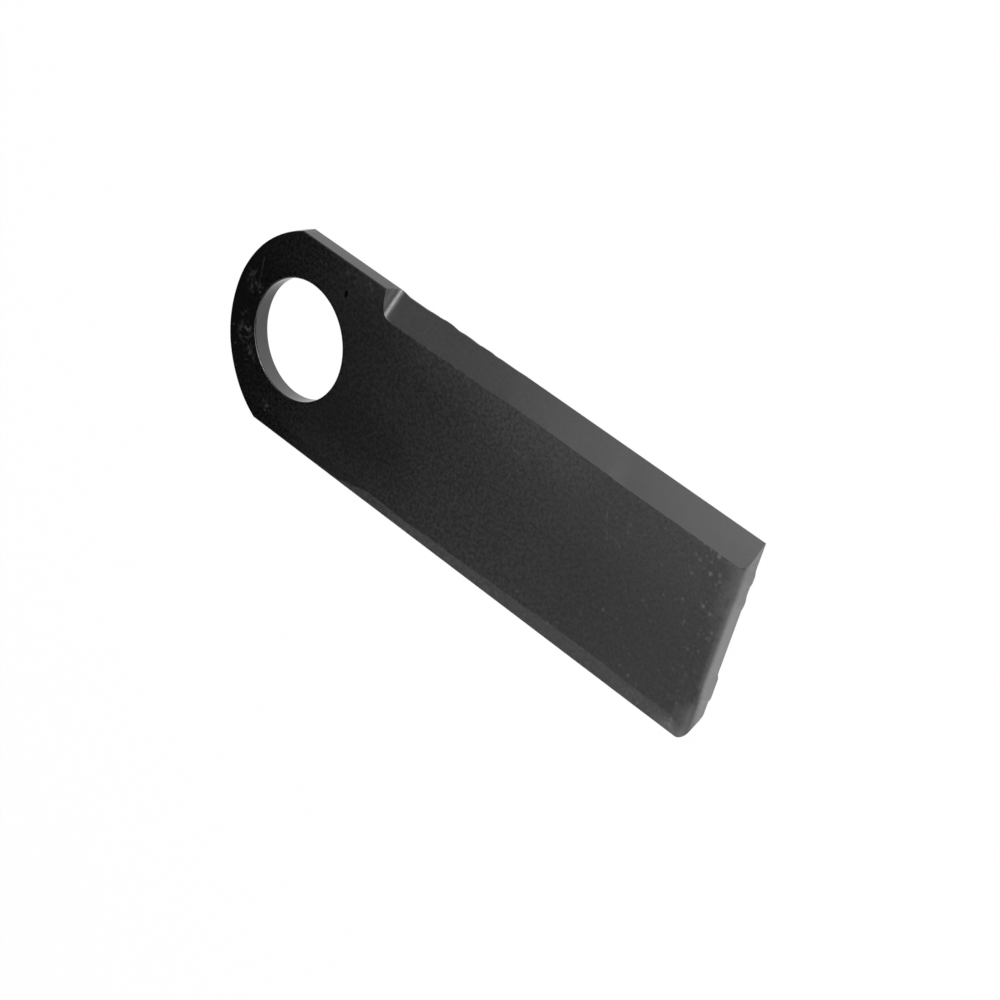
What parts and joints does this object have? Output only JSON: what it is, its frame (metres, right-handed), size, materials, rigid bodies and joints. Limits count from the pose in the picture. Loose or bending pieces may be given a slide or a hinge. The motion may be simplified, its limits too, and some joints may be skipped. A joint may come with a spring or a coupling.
{
  "type": "chopper knife",
  "caption": "Flat black steel chopper knife with a rounded pivot end, a large through hole, a ground cutting bevel with a shoulder along its edge and a square sheared tip.",
  "frame": {"origin": "on the surface the knife lies on, below the middle of its bounding box; the pivot hole's axis is at x = -0.05635 m, y = 0", "axes": "+X along the knife from the pivot hole to the tip, +Y towards the ground cutting edge, +Z out of the bevelled front face"},
  "size_m": [0.1592, 0.05, 0.004],
  "materials": {
    "black_paint": "semi-gloss black paint with a fine orange peel over drawn and ground steel"
  },
  "bodies": {
    "root": {"chopper_knife": "black_paint"}
  },
  "joints": []
}
